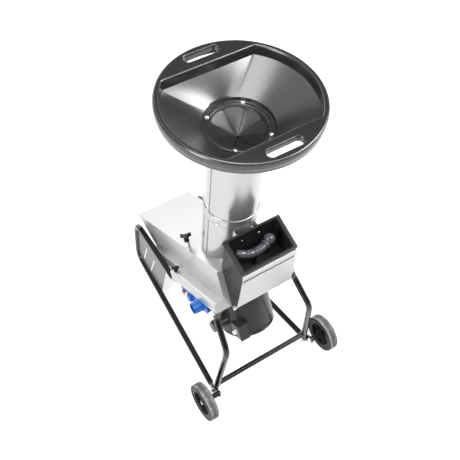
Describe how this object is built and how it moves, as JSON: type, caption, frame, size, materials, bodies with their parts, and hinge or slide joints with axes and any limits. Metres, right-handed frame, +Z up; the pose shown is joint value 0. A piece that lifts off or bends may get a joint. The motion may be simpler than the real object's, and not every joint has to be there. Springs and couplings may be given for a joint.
{
  "type": "garden shredder",
  "caption": "Wheeled electric garden shredder with a round top funnel, a vertical chute, a sloped knife cover, a front branch hopper and a tube frame.",
  "frame": {"origin": "on the ground under the middle of the machine's width and length", "axes": "+Z up, -Y to the front where the wheels and the branch hopper are, +X to the machine's right-hand side seen from the rear"},
  "size_m": [0.636, 0.9184, 1.3111],
  "materials": {
    "funnel_plastic": "satin black moulded plastic",
    "rubber_black": "matt black rubber",
    "zinc": "bright zinc plate",
    "silver_paint": "satin silver-grey paint",
    "black_plastic": "satin black plastic",
    "grip_plastic": "glossy dark grey plastic",
    "motor_paint": "dark grey motor paint",
    "cast_grey": "plain casting",
    "steel": "machined steel",
    "winding": "laminations and varnished windings",
    "fan_plastic": "moulded plastic",
    "white_plastic": "off-white plastic",
    "blue_plastic": "bright blue plastic",
    "red_plastic": "red plastic",
    "brass": "plain brass",
    "black_paint": "gloss black paint",
    "grey_paint": "mid-grey paint",
    "tyre_grey": "matt grey rubber"
  },
  "bodies": {
    "machine": {"funnel": "funnel_plastic", "throat_ring": "funnel_plastic", "splash_guard": "rubber_black", "throat_bolts": "zinc", "upper_chute": "silver_paint", "chute_stub": "silver_paint", "joint_band": "silver_paint", "chute_bolts": "zinc", "knife_cover": "silver_paint", "knob_spacer": "zinc", "knife_deck": "silver_paint", "branch_hopper": "black_plastic", "front_panel": "silver_paint", "hopper_bracket": "silver_paint", "hopper_clips": "zinc", "hopper_bolts": "zinc", "motor_flange": "motor_paint", "motor_housing": "motor_paint", "fan_cover": "motor_paint", "rear_shield": "cast_grey", "stator": "winding", "upper_bearing": "steel", "lower_bearing": "steel", "terminal_box": "motor_paint", "cable_gland": "white_plastic", "capacitor": "motor_paint", "switch_box": "blue_plastic", "mains_inlet": "blue_plastic", "inlet_pins": "brass", "left_loop": "black_paint", "right_loop": "black_paint", "left_leg": "black_paint", "right_leg": "black_paint", "crossbar": "black_paint", "left_plate": "grey_paint", "right_plate": "grey_paint", "clamp_nuts": "zinc", "frame_bolts": "zinc", "axle_brackets": "black_paint", "axle_bolts": "zinc", "axle_spacers": "black_plastic"},
    "left_wheel": {"left_tyre": "tyre_grey", "left_hub": "black_plastic"},
    "right_wheel": {"right_tyre": "tyre_grey", "right_hub": "black_plastic"},
    "rotor": {"motor_shaft": "steel", "rotor_core": "steel", "cooling_fan": "fan_plastic", "knife_disc": "steel", "knives": "steel", "knife_bolts": "steel", "disc_nut": "steel"},
    "cover_knob_body": {"cover_knob": "black_plastic"},
    "left_clamp": {"left_clamp_knob": "black_plastic"},
    "right_clamp": {"right_clamp_knob": "black_plastic"},
    "stop_button_body": {"stop_button": "red_plastic"},
    "start_button_body": {"start_button": "white_plastic"},
    "pusher": {"pusher_plate": "black_plastic", "pusher_grip": "grip_plastic"}
  },
  "joints": [
    {"name": "left_wheel_spin", "type": "hinge", "parent": "machine", "child": "left_wheel", "pos_m": [-0.298, -0.37917, 0.08], "axis": [1, 0, 0], "continuous": true},
    {"name": "right_wheel_spin", "type": "hinge", "parent": "machine", "child": "right_wheel", "pos_m": [0.298, -0.37917, 0.08], "axis": [1, 0, 0], "continuous": true},
    {"name": "rotor_spin", "type": "hinge", "parent": "machine", "child": "rotor", "pos_m": [0, -0.10312, 0.4405], "axis": [0, 0.5, 0.866], "continuous": true},
    {"name": "cover_knob_turn", "type": "hinge", "parent": "machine", "child": "cover_knob_body", "pos_m": [-0.112, 0.06513, 0.48192], "axis": [0, 0.5, 0.866], "range_deg": [0, 720]},
    {"name": "left_clamp_turn", "type": "hinge", "parent": "machine", "child": "left_clamp", "pos_m": [-0.166, 0.06922, 0.341], "axis": [0, 0.5, 0.866], "range_deg": [0, 720]},
    {"name": "right_clamp_turn", "type": "hinge", "parent": "machine", "child": "right_clamp", "pos_m": [0.166, 0.06922, 0.341], "axis": [0, 0.5, 0.866], "range_deg": [0, 720]},
    {"name": "stop_press", "type": "slide", "parent": "machine", "child": "stop_button_body", "axis": [1, 0, 0], "range_m": [0, 0.004], "stiffness_N_per_m": 500},
    {"name": "start_press", "type": "slide", "parent": "machine", "child": "start_button_body", "axis": [1, 0, 0], "range_m": [0, 0.004], "stiffness_N_per_m": 500},
    {"name": "pusher_lift", "type": "slide", "parent": "machine", "child": "pusher", "axis": [0, 0, 1], "range_m": [0, 0.2]}
  ]
}
